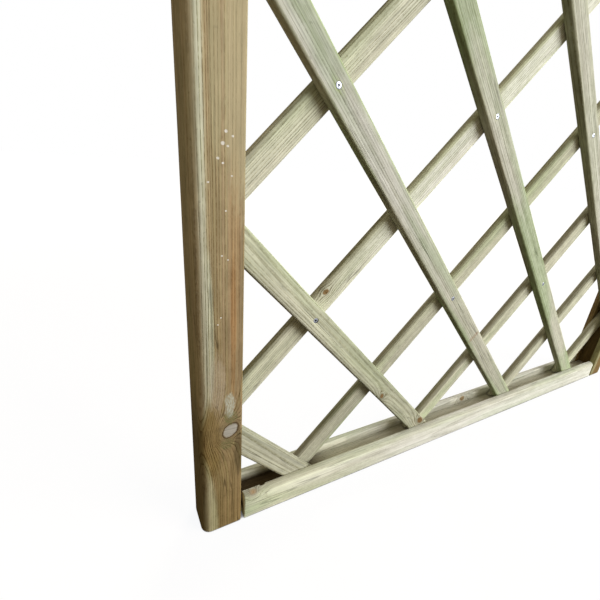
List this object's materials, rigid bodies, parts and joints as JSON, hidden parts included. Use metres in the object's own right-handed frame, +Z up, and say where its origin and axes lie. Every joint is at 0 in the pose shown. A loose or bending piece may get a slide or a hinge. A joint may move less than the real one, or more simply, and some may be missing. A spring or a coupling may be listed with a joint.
{
  "type": "arched garden trellis panel",
  "caption": "Arched softwood trellis panel: grooved stiles, foot rail and curved top rail round a diagonal two-layer slat lattice, for climbing plants or a fence bay.",
  "frame": {"origin": "middle of the foot of the panel: half way along its width and through its depth, on the plane that the stiles and the foot rail stand on", "axes": "+Z up, X along the panel, front face towards -Y"},
  "size_m": [0.9, 0.045, 1.8],
  "materials": {
    "stile_pine": "pressure-treated pine heartwood, planed, brown with a green cast",
    "rail_pine": "pressure-treated pine sapwood, planed, pale green",
    "arch_pine": "pressure-treated pine, sawn to the curve and sanded, pale brown-green",
    "slat_pine": "pressure-treated pine sapwood, planed with rounded edges, pale green to tan",
    "dowel_beech": "plain beech",
    "zinc_plate": "bright zinc plate",
    "galvanised_steel": "dull galvanised"
  },
  "bodies": {
    "root": {"left_stile": "stile_pine", "right_stile": "stile_pine", "bottom_rail": "rail_pine", "arch_segment_1": "arch_pine", "arch_segment_2": "arch_pine", "arch_segment_3": "arch_pine", "arch_dowels": "dowel_beech", "lattice_screws": "zinc_plate", "frame_pins": "galvanised_steel", "front_slat_01": "slat_pine", "rear_slat_01": "slat_pine", "front_slat_02": "slat_pine", "rear_slat_02": "slat_pine", "front_slat_03": "slat_pine", "rear_slat_03": "slat_pine", "front_slat_04": "slat_pine", "rear_slat_04": "slat_pine", "front_slat_05": "slat_pine", "rear_slat_05": "slat_pine", "front_slat_06": "slat_pine", "rear_slat_06": "slat_pine", "front_slat_07": "slat_pine", "rear_slat_07": "slat_pine", "front_slat_08": "slat_pine", "rear_slat_08": "slat_pine", "front_slat_09": "slat_pine", "rear_slat_09": "slat_pine", "front_slat_10": "slat_pine", "rear_slat_10": "slat_pine", "front_slat_11": "slat_pine", "rear_slat_11": "slat_pine"}
  },
  "joints": []
}
